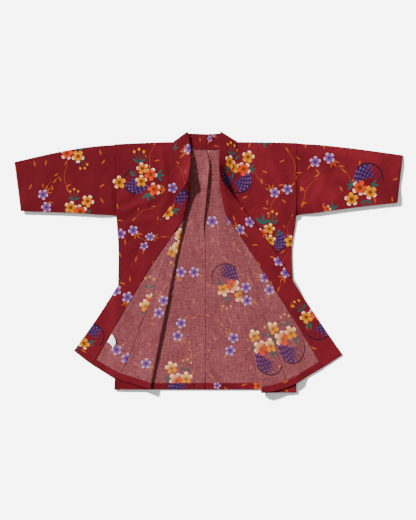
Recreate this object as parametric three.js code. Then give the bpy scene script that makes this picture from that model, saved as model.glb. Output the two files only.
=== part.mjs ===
// A short wrapped cotton jacket of the kimono family, laid out flat on its back with both fronts folded open.
// Millimetres, +Z up. The surface it lies on is z = 0, and the origin is under the middle of its outline.
//
// Each half is cut from four pieces: a body panel that runs from the back hem over the shoulder to the
// front hem, a sleeve, a long three-cornered overlap panel, and half of the collar band. The two halves meet
// in a seam down the middle of the back. Each front is turned outward along a slanting fold, so that its
// wrong side shows. Left and right are as seen from above.
//
// A half is worked out in its own flat coordinates: a runs outward from the middle of the garment and y runs
// up from the back hem. A front is first a flat cut in a and y, and is then laid over its fold.
import * as THREE from "three";

// ---- Driving sizes ----------------------------------------------------------------------------------------
const CLOTH = 1.2; // wall of one layer of cloth
const BAND = 2.4; // wall of the collar band, which is cloth folded double
const SEAM = 0.3; // between pieces at a seam
const AIR = 0.5; // between layers that lie on each other
const LOFT = 3.2; // how loosely a turned-over front lies on what is under it
const SHOULDER = 754; // height of the neck point above the back hem
const BACK_NECK = 729; // height of the back neckline at the middle
const CREST = 779; // height of the collar's top edge at the middle of the back
const ARMPIT = 527;
const SLEEVE_TOP = 747; // where the sleeve seam meets the shoulder
const NECK_WIDTH = 95; // from the middle to where the shoulder line begins
const OVERLAP_TIP = 482; // where the overlap panel runs out in a point
const HEM_TURN = 20; // depth of the turned-up hem
const PILE_AT_HEM = CLOTH + SEAM; // what the back's turned-up hem adds under the fronts

// The two halves. Outlines and seams are rows of { y, a }, from the hem up. The band and overlap seams and
// the band's free edge are places in the flat cut of the front. Each hem is rows of { a, y }. fold is the line
// that the front is turned over. stand is how far the band's free edge stands off its lie: to the side and up.
const HALVES = {
  left: {
    mirror: -1,
    side: [
      { y: 0, a: 284 },
      { y: 150, a: 275 },
      { y: 330, a: 272 },
      { y: 430, a: 271 },
      { y: ARMPIT, a: 277 },
      { y: SLEEVE_TOP, a: 279 },
    ],
    shoulderDrop: 7,
    cuff: { top: [588, 693], foot: [568, 544] },
    sleeveBow: 9,
    fold: { foot: [178, 0], head: [41.5, 683] },
    hem: [
      { a: -92, y: 18 },
      { a: -40, y: 4 },
      { a: 20, y: -6 },
      { a: 60, y: -9 },
      { a: 110, y: -5 },
      { a: 175, y: 0 },
      { a: 280, y: 0 },
    ],
    backHemDrop: 0,
    bandSeam: [
      { y: 0, a: -22 },
      { y: 110, a: -10 },
      { y: 265, a: 12 },
      { y: 418, a: 43 },
      { y: 500, a: 58 },
      { y: 560, a: 72 },
      { y: 610, a: 90 },
      { y: 660, a: 103 },
      { y: SHOULDER, a: 103 },
    ],
    bandEdge: [
      { y: 0, a: -93 },
      { y: 247, a: -47 },
      { y: 415, a: -16 },
      { y: 530, a: 4 },
      { y: 600, a: 18 },
      { y: 650, a: 38 },
      { y: 710, a: 47 },
      { y: 785, a: 58 },
    ],
    overlapSeam: [
      { y: 0, a: 72 },
      { y: 250, a: 63 },
      { y: 400, a: 59 },
      { y: OVERLAP_TIP, a: 56 },
    ],
    stand: [
      { y: 540, out: 0, up: 0 },
      { y: 600, out: 5, up: 13 },
      { y: 645, out: 17, up: 31 },
      { y: 690, out: 6, up: 14 },
      { y: 740, out: 0, up: 0 },
    ],
  },
  right: {
    mirror: 1,
    side: [
      { y: 0, a: 272 },
      { y: 150, a: 268 },
      { y: 330, a: 261 },
      { y: 430, a: 258 },
      { y: ARMPIT, a: 271 },
      { y: SLEEVE_TOP, a: 274 },
    ],
    shoulderDrop: 3,
    cuff: { top: [596, 714], foot: [579, 570] },
    sleeveBow: 4,
    fold: { foot: [166.5, 0], head: [32, 683] },
    hem: [
      { a: -114, y: 2 },
      { a: -50, y: -10 },
      { a: 0, y: -17 },
      { a: 55, y: -25 },
      { a: 110, y: -22 },
      { a: 165, y: -11 },
      { a: 220, y: -9 },
      { a: 280, y: -9 },
    ],
    backHemDrop: 9,
    bandSeam: [
      { y: 0, a: -44 },
      { y: 119, a: -28 },
      { y: 209, a: -11 },
      { y: 295, a: 6 },
      { y: 382, a: 25 },
      { y: 485, a: 42 },
      { y: 560, a: 56 },
      { y: 621, a: 67 },
      { y: 690, a: 82 },
      { y: SHOULDER, a: 91 },
    ],
    bandEdge: [
      { y: 0, a: -115 },
      { y: 281, a: -58 },
      { y: 385, a: -38 },
      { y: 491, a: -17 },
      { y: 580, a: 2 },
      { y: 650, a: 22 },
      { y: 710, a: 32 },
      { y: 785, a: 39 },
    ],
    overlapSeam: [
      { y: 0, a: 73 },
      { y: 228, a: 56 },
      { y: 400, a: 49 },
      { y: OVERLAP_TIP, a: 42.5 },
    ],
    stand: [
      { y: 560, out: 0, up: 0 },
      { y: 610, out: 2, up: 16 },
      { y: 655, out: 9, up: 26 },
      { y: 700, out: 5, up: 12 },
      { y: 745, out: 0, up: 0 },
    ],
  },
};

// How round the fold of a front is, from the hem up to where the fold leaves the collar band.
const FOLD_RADIUS = [
  { y: 0, r: 4 },
  { y: 130, r: 5 },
  { y: 270, r: 5 },
  { y: 400, r: 3.6 },
  { y: 520, r: 5.5 },
  { y: 640, r: 8.5 },
  { y: 700, r: 8.5 },
];
// The middle seam of the back sways a little, and its upper stretch stands up as a soft pleat.
const BACK_SEAM = [
  { y: 0, x: -4.5, rise: 0 },
  { y: 440, x: -5, rise: 0 },
  { y: 500, x: -9, rise: 3 },
  { y: 560, x: -4, rise: 6 },
  { y: 640, x: 4, rise: 7 },
  { y: 690, x: 8, rise: 4 },
  { y: BACK_NECK, x: 0, rise: 0 },
];
const PLEAT_WIDTH = 11;
const HEM_REACH = 160; // the hem isn't cut quite straight, and the panels follow it up to this height
const PUFF = 1.2; // how much higher than its edges a front or a sleeve lies
const ARMPIT_PILE = 5.6; // what lies under a turned-over front above the armpit
const SETTLE = 62; // width over which a turned-over front comes down from its fold
const SIDE_DROP = 30; // width over which the band comes down to the surface outside the side seam

// The largest creases, each a soft ridge from one end to the other: places in a and y, width and height.
const CREASES = {
  left: [
    { from: [268, 535], to: [150, 590], width: 13, height: 5 },
    { from: [272, 560], to: [185, 650], width: 15, height: 4 },
    { from: [285, 545], to: [300, 640], width: 9, height: 5 },
    { from: [262, 500], to: [165, 520], width: 12, height: 3.5 },
    { from: [262, 420], to: [215, 440], width: 12, height: 4 },
    { from: [262, 385], to: [222, 360], width: 12, height: 3.5 },
    { from: [140, 730], to: [118, 600], width: 12, height: 4 },
    { from: [380, 560], to: [350, 700], width: 22, height: 3 },
    { from: [520, 590], to: [470, 680], width: 24, height: 2.5 },
  ],
  right: [
    { from: [268, 535], to: [225, 640], width: 13, height: 5 },
    { from: [276, 545], to: [262, 660], width: 9, height: 5 },
    { from: [290, 545], to: [310, 640], width: 9, height: 5 },
    { from: [262, 440], to: [225, 430], width: 11, height: 5 },
    { from: [258, 405], to: [228, 385], width: 11, height: 4.5 },
    { from: [190, 730], to: [220, 640], width: 16, height: 4 },
    { from: [350, 600], to: [365, 700], width: 20, height: 3.5 },
    { from: [430, 590], to: [480, 690], width: 24, height: 2.5 },
    { from: [160, 700], to: [190, 610], width: 14, height: 3 },
  ],
};

// ---- Small helpers ----------------------------------------------------------------------------------------
const lerp = THREE.MathUtils.lerp;
const clamp01 = (t) => Math.min(1, Math.max(0, t));
const smooth = (t) => clamp01(t) ** 2 * (3 - 2 * clamp01(t));
const steps = (n, from = 0, to = 1) => Array.from({ length: n + 1 }, (_, i) => lerp(from, to, i / n));

// Value of a table's column where its key has this value, on a smooth curve through its rows.
function at(table, column, y, key = "y") {
  const last = table.length - 1;
  let i = table.findIndex((row) => row[key] > y) - 1;
  if (i === -2) i = last - 1;
  i = Math.max(0, i);
  const slope = (k) => {
    const before = table[Math.max(0, k - 1)];
    const after = table[Math.min(last, k + 1)];
    return (after[column] - before[column]) / (after[key] - before[key]);
  };
  const [low, high] = [table[i], table[i + 1]];
  const span = high[key] - low[key];
  const t = clamp01((y - low[key]) / span);
  const [t2, t3] = [t * t, t * t * t];
  const inside =
    (2 * t3 - 3 * t2 + 1) * low[column] +
    (t3 - 2 * t2 + t) * span * slope(i) +
    (3 * t2 - 2 * t3) * high[column] +
    (t3 - t2) * span * slope(i + 1);
  const past = y < low[key] ? (y - low[key]) * slope(0) : y > high[key] ? (y - high[key]) * slope(last) : 0;
  return inside + past;
}

// ---- Cloth as a closed wall -------------------------------------------------------------------------------
// A sheet is a mesh of points down the middle of the cloth. Strips of it that share points become one piece.
class Sheet {
  constructor() {
    this.points = [];
    this.quads = [];
    this.known = new Map();
  }

  index(point) {
    const key = point.toArray().map((v) => Math.round(v * 1e3)).join();
    if (!this.known.has(key)) this.known.set(key, this.points.push(point.clone()) - 1);
    return this.known.get(key);
  }

  // Rows of points, all equally long. closed joins the last row to the first, as round a tube.
  addRows(rows, closed = false) {
    const ids = rows.map((row) => row.map((p) => this.index(p)));
    if (closed) ids.push(ids[0]);
    for (let i = 1; i < ids.length; i++)
      for (let j = 1; j < ids[i].length; j++)
        this.quads.push([ids[i - 1][j - 1], ids[i - 1][j], ids[i][j], ids[i][j - 1]]);
    return this;
  }

  normals() {
    const sums = this.points.map(() => new THREE.Vector3());
    for (const [a, b, c, d] of this.quads) {
      const across = this.points[c].clone().sub(this.points[a]);
      const over = this.points[d].clone().sub(this.points[b]);
      const face = across.cross(over);
      for (const k of [a, b, c, d]) sums[k].add(face);
    }
    return sums.map((n) => n.normalize());
  }

  // The closed wall: the sheet moved half its thickness to each side, with a rim round every open edge.
  wall(thickness, mirror) {
    const normals = this.normals();
    const count = this.points.length;
    const moved = (by) => this.points.map((p, k) => p.clone().addScaledVector(normals[k], by));
    const corners = [...moved(thickness / 2), ...moved(-thickness / 2)];
    const triangles = [];
    const edges = new Map();
    for (const quad of this.quads) {
      const [a, b, c, d] = quad;
      triangles.push([a, b, c], [a, c, d]);
      triangles.push([c + count, b + count, a + count], [d + count, c + count, a + count]);
      quad.forEach((from, k) => {
        const to = quad[(k + 1) % 4];
        if (!edges.delete(`${to},${from}`)) edges.set(`${from},${to}`, [from, to]);
      });
    }
    for (const [from, to] of edges.values()) {
      triangles.push([to, from, from + count], [to, from + count, to + count]);
    }
    for (const p of corners) p.x *= mirror;
    const wedge = ([a, b, c]) => corners[a].dot(corners[b].clone().cross(corners[c]));
    const volume = triangles.reduce((sum, triangle) => sum + wedge(triangle), 0);
    const outward = volume < 0 ? triangles.map(([a, b, c]) => [a, c, b]) : triangles;
    const positions = corners.flatMap((p) => p.toArray());
    const geometry = new THREE.BufferGeometry();
    geometry.setAttribute("position", new THREE.Float32BufferAttribute(positions, 3));
    geometry.setIndex(outward.flat());
    geometry.computeVertexNormals();
    return geometry;
  }
}

// ---- Outline and lie of one half --------------------------------------------------------------------------
class Half {
  constructor(name) {
    Object.assign(this, HALVES[name]);
    this.creases = CREASES[name];
    const [foot, head] = [new THREE.Vector2(...this.fold.foot), new THREE.Vector2(...this.fold.head)];
    this.foldFoot = foot;
    this.foldWay = head.clone().sub(foot).normalize();
    this.foldOut = new THREE.Vector2(-this.foldWay.y, this.foldWay.x); // towards the front edge
  }

  sideAt(y) {
    return at(this.side, "a", y);
  }

  shoulderAt(a) {
    const across = clamp01((a - NECK_WIDTH) / (this.sideAt(SLEEVE_TOP) - NECK_WIDTH));
    return SHOULDER - this.shoulderDrop * across ** 1.6;
  }

  // Where the middle seam of the back runs in this half's own a.
  backSeamAt(y) {
    // The two edges keep a little room where they stand up together.
    const lean = 0.1 * Math.max(0, at(BACK_SEAM, "rise", y));
    return this.mirror * at(BACK_SEAM, "x", y) + SEAM / 2 + lean;
  }

  crease(a, y) {
    let height = 0;
    for (const { from, to, width, height: top } of this.creases) {
      const [da, dy] = [to[0] - from[0], to[1] - from[1]];
      const along = ((a - from[0]) * da + (y - from[1]) * dy) / (da * da + dy * dy);
      const t = clamp01(along);
      const off = Math.hypot(a - from[0] - t * da, y - from[1] - t * dy) / width;
      height += top * Math.exp(-off * off) * (0.35 + 0.65 * Math.sin(Math.PI * (0.15 + 0.7 * t)));
    }
    return height;
  }

  // Middle of the back's cloth, which lies on the surface and stands up in the pleat.
  layBack(a, y, lift = 0) {
    const away = (a - this.backSeamAt(y)) / PLEAT_WIDTH;
    const rise = Math.max(0, at(BACK_SEAM, "rise", y)) * Math.exp(-away * away * 2);
    const drop = this.backHemDrop * smooth((a - 190) / 80) * smooth(1 - y / HEM_REACH);
    return new THREE.Vector3(a, y - drop, CLOTH / 2 + rise + lift);
  }

  // Middle of a front's cloth where it isn't turned over.
  frontHeight(a, y) {
    const overHem = PILE_AT_HEM * smooth((HEM_TURN + 60 - y) / 50);
    const fromSide = y < ARMPIT ? smooth((this.sideAt(y) - a) / 26) : 1;
    const fromShoulder = smooth((this.shoulderAt(a) - y) / 30);
    const clearOfFold = smooth((-this.pastFold(a, y) - 6) / 40);
    const puff = PUFF + this.crease(a, y) * clearOfFold;
    return CLOTH * 1.5 + SEAM + overHem + puff * fromSide * fromShoulder;
  }

  // How far a point of the flat cut lies past the fold line.
  pastFold(a, y) {
    return (a - this.foldFoot.x) * this.foldOut.x + (y - this.foldFoot.y) * this.foldOut.y;
  }

  // Middle of cloth of this thickness at rest on whatever lies under a turned-over front at this place.
  restHeight(a, y, thickness) {
    const aboveTip = smooth((y - OVERLAP_TIP) / 90);
    const pile = lerp(this.frontHeight(a, y) + CLOTH / 2, ARMPIT_PILE, aboveTip) + LOFT;
    const outside = a - this.sideAt(y) - 3;
    return lerp(pile, 0, smooth(outside / SIDE_DROP)) + thickness / 2;
  }

  // Lays a point of the flat front over the fold. base is its height before the fold.
  lay(a, level, thickness, base) {
    const y = level + at(this.hem, "y", a, "a") * smooth(1 - level / HEM_REACH);
    const past = this.pastFold(a, y);
    if (past <= 0) return new THREE.Vector3(a, y, base);
    const foldA = a - past * this.foldOut.x;
    const foldY = y - past * this.foldOut.y;
    const radius = at(FOLD_RADIUS, "r", foldY);
    const turn = Math.min(Math.PI, past / radius);
    const back = past - turn * radius;
    const out = radius * Math.sin(turn) - back;
    const place = new THREE.Vector3(foldA + out * this.foldOut.x, foldY + out * this.foldOut.y, 0);
    const rolled = base + radius * (1 - Math.cos(turn));
    const settle = smooth(back / SETTLE);
    place.z = lerp(rolled, this.restHeight(place.x, place.y, thickness), settle);
    return place;
  }

  layFront(a, y) {
    const past = this.pastFold(a, y);
    const near = past > 0 ? [a - past * this.foldOut.x, y - past * this.foldOut.y] : [a, y];
    return this.lay(a, y, CLOTH, this.frontHeight(...near));
  }
}

// ---- Body panel -------------------------------------------------------------------------------------------
const ROWS_BELOW_ARMPIT = [0, 10, 20, 34, 80, 130, 180, 230, 280, 330, 375, 415, 445, 468, 485, 505, ARMPIT];
const ROWS_ABOVE_ARMPIT = steps(10, ARMPIT, SHOULDER).slice(1);
const ROWS = [...ROWS_BELOW_ARMPIT, ...ROWS_ABOVE_ARMPIT];
const COLUMNS = { flat: 6, roll: 5, turned: 4, neck: 5 };

// Places of a front row's columns in the flat cut, from the side seam to the front edge.
function frontColumns(half, y, edge) {
  const { x: foldA } = half.foldFoot.clone().addScaledVector(half.foldWay, y / half.foldWay.y);
  const radius = at(FOLD_RADIUS, "r", y);
  const rollStart = Math.max(foldA + 1, edge + 40);
  const rollEnd = Math.max(foldA - Math.PI * radius - 1, edge + 13);
  return [
    ...steps(COLUMNS.flat, half.sideAt(y), rollStart),
    ...steps(COLUMNS.roll, rollStart, rollEnd).slice(1),
    ...steps(COLUMNS.turned, rollEnd, edge).slice(1),
  ];
}

// The seam edge of the body front in the flat cut: along the overlap panel, then along the band.
function frontEdge(half, y) {
  return at(y < OVERLAP_TIP ? half.overlapSeam : half.bandSeam, "a", y) + SEAM / 2;
}

// The back neckline falls from the shoulder and then runs level to the middle.
function neckCurve(t) {
  return smooth(t * 1.35);
}

function bodyPanel(half) {
  const sheet = new Sheet();
  const columns = COLUMNS.flat + COLUMNS.roll + COLUMNS.turned;
  // A row runs level at the hem and along the shoulder at the top.
  const level = (a, y) => y + (half.shoulderAt(a) - SHOULDER) * smooth((y - ARMPIT) / (SHOULDER - ARMPIT));
  const places = ROWS.map((y) => frontColumns(half, y, frontEdge(half, y)).map((a) => [a, level(a, y)]));

  const back = places.map((row) => row.map(([a, y]) => half.layBack(a, y)));
  const front = places.map((row) => row.map(([a, y]) => half.layFront(a, y)));
  // The back goes on from the column at the front's edge to the middle seam, and ends at the neckline on top.
  const neck = places.map((row, i) => {
    const [startA, startY] = row[columns];
    const fall = smooth((ROWS[i] - OVERLAP_TIP) / (SHOULDER - OVERLAP_TIP));
    const middleY = ROWS[i] * lerp(1, BACK_NECK / SHOULDER, fall);
    return steps(COLUMNS.neck).map((t) => {
      const y = lerp(startY, middleY, neckCurve(t));
      return half.layBack(lerp(startA, half.backSeamAt(y), t), y);
    });
  });
  sheet.addRows(back.map((row, i) => [...row, ...neck[i].slice(1)]));
  sheet.addRows([...front].reverse());

  // Over the shoulder, and round the side seam below the armpit, the cloth turns in a small half round.
  const turnOver = (from, to, outward) =>
    steps(3).map((t) => {
      const radius = (to.z - from.z) / 2;
      const point = from.clone().lerp(to, t);
      point.z = from.z + radius * (1 - Math.cos(Math.PI * t));
      return point.addScaledVector(outward, radius * Math.sin(Math.PI * t));
    });
  const top = ROWS.length - 1;
  const shoulder = back[top].map((p, j) => turnOver(p, front[top][j], new THREE.Vector3(0, 1, 0)));
  sheet.addRows(steps(3).map((_, k) => shoulder.map((arc) => arc[k])));
  const sewn = back.slice(0, ROWS_BELOW_ARMPIT.length);
  const side = sewn.map((row, i) => turnOver(row[0], front[i][0], new THREE.Vector3(1, 0, 0)));
  sheet.addRows(side.map((arc) => [...arc].reverse()));
  return sheet.wall(CLOTH, half.mirror);
}

// ---- Overlap panel, hems ----------------------------------------------------------------------------------
function overlapColumns(half, y) {
  return steps(4, at(half.overlapSeam, "a", y) - SEAM / 2, at(half.bandSeam, "a", y) + SEAM / 2);
}

function overlapPanel(half) {
  const rows = ROWS.filter((y) => y < OVERLAP_TIP - 5);
  return new Sheet()
    .addRows(rows.map((y) => overlapColumns(half, y).map((a) => half.layFront(a, y))))
    .wall(CLOTH, half.mirror);
}

// The turned-up hem of the back, which lies on the back's wrong side.
function backHem(half) {
  const rows = steps(2, 0, HEM_TURN).map((y) => {
    const from = half.sideAt(y) - 4;
    return steps(9, from, half.backSeamAt(y)).map((a) => half.layBack(a, y, CLOTH + SEAM));
  });
  return new Sheet().addRows(rows).wall(CLOTH, half.mirror);
}

// The turned-up hem of a front, from the round of the fold to the band. It lies on the turned-over wrong
// side, so it is made from the panels' own points, moved out.
function frontHem(half) {
  const firstColumn = COLUMNS.flat + COLUMNS.roll - 1;
  const lifted = (a, y) => {
    const here = half.layFront(a, y);
    const along = half.layFront(a - 0.5, y).sub(here);
    const up = half.layFront(a, y + 0.5).sub(here);
    return here.addScaledVector(along.cross(up).normalize(), CLOTH + 2 * SEAM);
  };
  const rows = ROWS.filter((y) => y <= HEM_TURN).map((y) => {
    const body = frontColumns(half, y, frontEdge(half, y)).slice(firstColumn);
    const overlap = overlapColumns(half, y);
    overlap.push(overlap.pop() + SEAM);
    return [...body, ...overlap].map((a) => lifted(a, y));
  });
  return new Sheet().addRows(rows).wall(CLOTH, half.mirror);
}

// ---- Collar band ------------------------------------------------------------------------------------------
const SHOULDER_ROLL = { seam: 1.7, edge: 5.6 }; // radius of the band's fold at the shoulder, across the band
const BAND_COLUMNS = 6;
const BAND_TOP = 781; // how far the band's free edge reaches up where it turns over the shoulder

// The band is thicker than the cloth, so it stands a little off its seam where both turn over together.
function bandRoom(y) {
  return 1.3 * Math.exp(-(((y - 520) / 45) ** 2)) + 0.8 * smooth((y - 720) / 34);
}

function collarBand(half) {
  const across = steps(BAND_COLUMNS);
  const rollRadius = (w) => lerp(SHOULDER_ROLL.seam, SHOULDER_ROLL.edge, w);
  // Height of the band in front before the fold: it leans up from its seam, most of all at the shoulder.
  const base = (y, w) => {
    const flat = CLOTH + AIR + BAND / 2;
    const perch = BAND / 2 + 2 * rollRadius(w) - flat;
    return flat + perch * smooth((y - lerp(690, 600, w)) / lerp(40, 110, w));
  };
  const flatPoint = (seamY, w) => {
    const edgeY = (seamY * BAND_TOP) / SHOULDER;
    const seamA = at(half.bandSeam, "a", seamY) - SEAM / 2 - bandRoom(seamY);
    return [lerp(seamA, at(half.bandEdge, "a", edgeY), w), lerp(seamY, edgeY, w)];
  };
  const front = ROWS.map((row) =>
    across.map((w) => {
      const [a, y] = flatPoint(row, w);
      const off = smooth((y - half.stand[0].y) / 20) * smooth((half.stand.at(-1).y - y) / 20) * w * w;
      const place = half.lay(a, y, BAND, base(y, w));
      place.x += off * at(half.stand, "out", y);
      place.z += off * at(half.stand, "up", y);
      return place;
    }),
  );
  // Round the shoulder fold and on to the middle of the back, where the band lies on the surface.
  const foldRow = front[front.length - 1];
  const foldWay = foldRow[BAND_COLUMNS].clone().sub(foldRow[0]).setZ(0).normalize();
  const outward = new THREE.Vector3(-foldWay.y, foldWay.x, 0).multiplyScalar(foldWay.x > 0 ? 1 : -1);
  if (outward.y < 0) outward.multiplyScalar(-1);
  const roll = steps(4)
    .slice(1)
    .map((t) =>
      foldRow.map((p, j) => {
        const radius = rollRadius(across[j]);
        const point = p.clone().addScaledVector(outward, radius * Math.sin(Math.PI * t));
        return point.setZ(BAND / 2 + radius * (1 + Math.cos(Math.PI * t)));
      }),
    );
  const low = roll[roll.length - 1];
  const neckSeam = BACK_NECK + 3 * SEAM;
  const middle = across.map((w) => new THREE.Vector3(SEAM / 2, lerp(neckSeam, CREST, w), BAND / 2));
  const back = steps(COLUMNS.neck)
    .slice(1)
    .map((t) =>
      low.map((p, j) => {
        const point = p.clone().lerp(middle[j], t);
        return point.setY(lerp(p.y, middle[j].y, lerp(neckCurve(t), t, across[j])));
      }),
    );
  return new Sheet().addRows([...front, ...roll, ...back]).wall(BAND, half.mirror);
}

// ---- Sleeve -----------------------------------------------------------------------------------------------
// bow: how far the lower edge bows up, and puff: how much higher the middle lies. armhole and edge are shares of
// the sleeve's length and depth: where it has left the armhole's line, and where its edges have risen.
const SLEEVE = { bow: 2.5, puff: 1.5, armhole: 1 / 6, edge: 1 / 7 };

function sleeve(half) {
  const topAt = (s) => {
    const corner = half.sideAt(SLEEVE_TOP);
    const start = [corner + SEAM, half.shoulderAt(corner)];
    const bow = half.sleeveBow * Math.sin(Math.PI * s) * (1 - s * 0.4);
    return [lerp(start[0], half.cuff.top[0], s), lerp(start[1], half.cuff.top[1], s) + bow];
  };
  const footAt = (s) => [
    lerp(half.sideAt(ARMPIT) + SEAM, half.cuff.foot[0], s),
    lerp(ARMPIT + 3, half.cuff.foot[1], s) + SLEEVE.bow * Math.sin(Math.PI * s),
  ];
  const across = steps(9);
  const rings = steps(14).map((s) => {
    const [top, foot] = [topAt(s), footAt(s)];
    const place = (t) => {
      const y = lerp(foot[1], top[1], t);
      const straight = lerp(foot[0], top[0], t);
      const armhole = half.sideAt(Math.min(SLEEVE_TOP, y)) + SEAM;
      return [lerp(armhole, straight, clamp01(s / SLEEVE.armhole)), y];
    };
    const layer = (t, height) => {
      const [a, y] = place(t);
      return new THREE.Vector3(a, y, height);
    };
    const low = CLOTH / 2;
    const high = (t) => {
      const [a, y] = place(t);
      const puff = PUFF + half.crease(a, y) + SLEEVE.puff * Math.sin(Math.PI * s);
      return CLOTH * 1.5 + SEAM + puff * smooth(Math.min(t, 1 - t) / SLEEVE.edge);
    };
    const edgeRadius = (CLOTH + SEAM) / 2;
    const round = (t, way) => layer(t, low + edgeRadius).add(new THREE.Vector3(0, way * edgeRadius, 0));
    return [
      ...across.map((t) => layer(t, low)),
      round(1, 1),
      ...[...across].reverse().map((t) => layer(t, high(t))),
      round(0, -1),
    ];
  });
  const closed = rings.map((ring) => [...ring, ring[0]]);
  return new Sheet().addRows(closed).wall(CLOTH, half.mirror);
}

// ---- Care label -------------------------------------------------------------------------------------------
// A blank folded label caught in the left band seam. It lies on the turned-over wrong side and curls up.
const LABEL = { wall: 1, width: 27, length: 24, seamAt: 96, inset: 3, clear: 2, curl: 5 };

function careLabel(half) {
  const rows = steps(5).map((t) => {
    return steps(3).map((w) => {
      const y = LABEL.seamAt + LABEL.width * (w - 0.5) * (1 - 0.35 * t);
      const a = at(half.bandSeam, "a", y) + LABEL.inset + LABEL.length * t;
      const point = half.layFront(a, y - 12 * t * t);
      const lift = CLOTH / 2 + LABEL.clear + LABEL.curl * Math.sin(Math.PI * t * 0.85) * (0.4 + 0.6 * w);
      return point.setZ(point.z + lift);
    });
  });
  return new Sheet().addRows(rows).wall(LABEL.wall, half.mirror);
}

// ---- The jacket -------------------------------------------------------------------------------------------
const printedRed = new THREE.MeshStandardMaterial({ color: 0x7d1921, roughness: 0.85, metalness: 0 });
const wrongSide = new THREE.MeshStandardMaterial({ color: 0x9b5557, roughness: 0.9, metalness: 0 });
const labelWhite = new THREE.MeshStandardMaterial({ color: 0xf2f2f0, roughness: 0.7, metalness: 0 });

const jacket = new THREE.Group();
function add(name, geometry, material) {
  const mesh = new THREE.Mesh(geometry, material);
  mesh.name = name;
  jacket.add(mesh);
}

for (const name of Object.keys(HALVES)) {
  const half = new Half(name);
  add(`body_${name}`, bodyPanel(half), printedRed);
  add(`overlap_${name}`, overlapPanel(half), wrongSide);
  add(`collar_${name}`, collarBand(half), printedRed);
  add(`sleeve_${name}`, sleeve(half), printedRed);
  add(`hem_back_${name}`, backHem(half), printedRed);
  add(`hem_front_${name}`, frontHem(half), printedRed);
  if (name === "left") add("label", careLabel(half), labelWhite);
}

// The origin goes under the middle of the outline, on the surface that the jacket lies on.
const box = new THREE.Box3().setFromObject(jacket);
const middle = box.getCenter(new THREE.Vector3());
jacket.position.set(-middle.x, -middle.y, -box.min.z);

export default jacket;
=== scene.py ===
# %% [markdown]
# # A short cotton jacket of the kimono family, laid out flat
# The jacket lies on its back with its sleeves out and both fronts folded open, so the deep red printed side and the
# pale wrong side both show. We load the solid model first. It fixes where everything is, and each cloth piece below
# takes the place of one of its solids.

# %% Load the frame
import bpy
import math
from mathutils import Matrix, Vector, noise


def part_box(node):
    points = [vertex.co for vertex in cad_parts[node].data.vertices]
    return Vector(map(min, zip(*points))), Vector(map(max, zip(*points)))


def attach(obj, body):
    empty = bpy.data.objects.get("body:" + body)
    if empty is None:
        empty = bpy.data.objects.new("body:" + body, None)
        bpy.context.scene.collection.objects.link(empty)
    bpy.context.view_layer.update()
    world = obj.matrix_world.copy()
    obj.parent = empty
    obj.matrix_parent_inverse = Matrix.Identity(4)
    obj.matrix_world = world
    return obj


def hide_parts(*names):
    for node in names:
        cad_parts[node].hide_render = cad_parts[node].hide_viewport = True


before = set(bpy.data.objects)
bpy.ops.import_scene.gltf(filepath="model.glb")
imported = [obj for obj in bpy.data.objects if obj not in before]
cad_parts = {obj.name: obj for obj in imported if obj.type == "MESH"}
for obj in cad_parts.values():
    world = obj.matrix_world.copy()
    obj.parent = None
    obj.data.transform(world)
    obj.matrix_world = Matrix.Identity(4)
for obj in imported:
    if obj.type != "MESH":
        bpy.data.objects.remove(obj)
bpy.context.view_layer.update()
MM = 0.001
print("solids:", len(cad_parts))

# %% [markdown]
# ## The cut
# Cloth is easiest to think of flat. Each half of the jacket has its own flat coordinates in millimetres: a runs
# outward from the middle, and y runs up from the back hem. The tables hold the outline, the seams, the fold that
# the front is turned over, and how high the band stands where it twists. A smooth curve runs through each table.

# %% Sizes of the cut
CLOTH = 1.2
BAND = 2.4
SEAM = 0.3
AIR = 0.5
LOFT = 3.2
SHOULDER = 754
BACK_NECK = 729
CREST = 779
ARMPIT = 527
OVERLAP_TIP = 482
HEM_TURN = 20
HEM_REACH = 160
SHOULDER_SEAM_Y = 747
NECK_WIDTH = 95
ARMPIT_PILE = 5.6
SETTLE = 62
CLOTH_WALL = CLOTH * 0.8
BAND_WALL = BAND * 0.85

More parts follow.
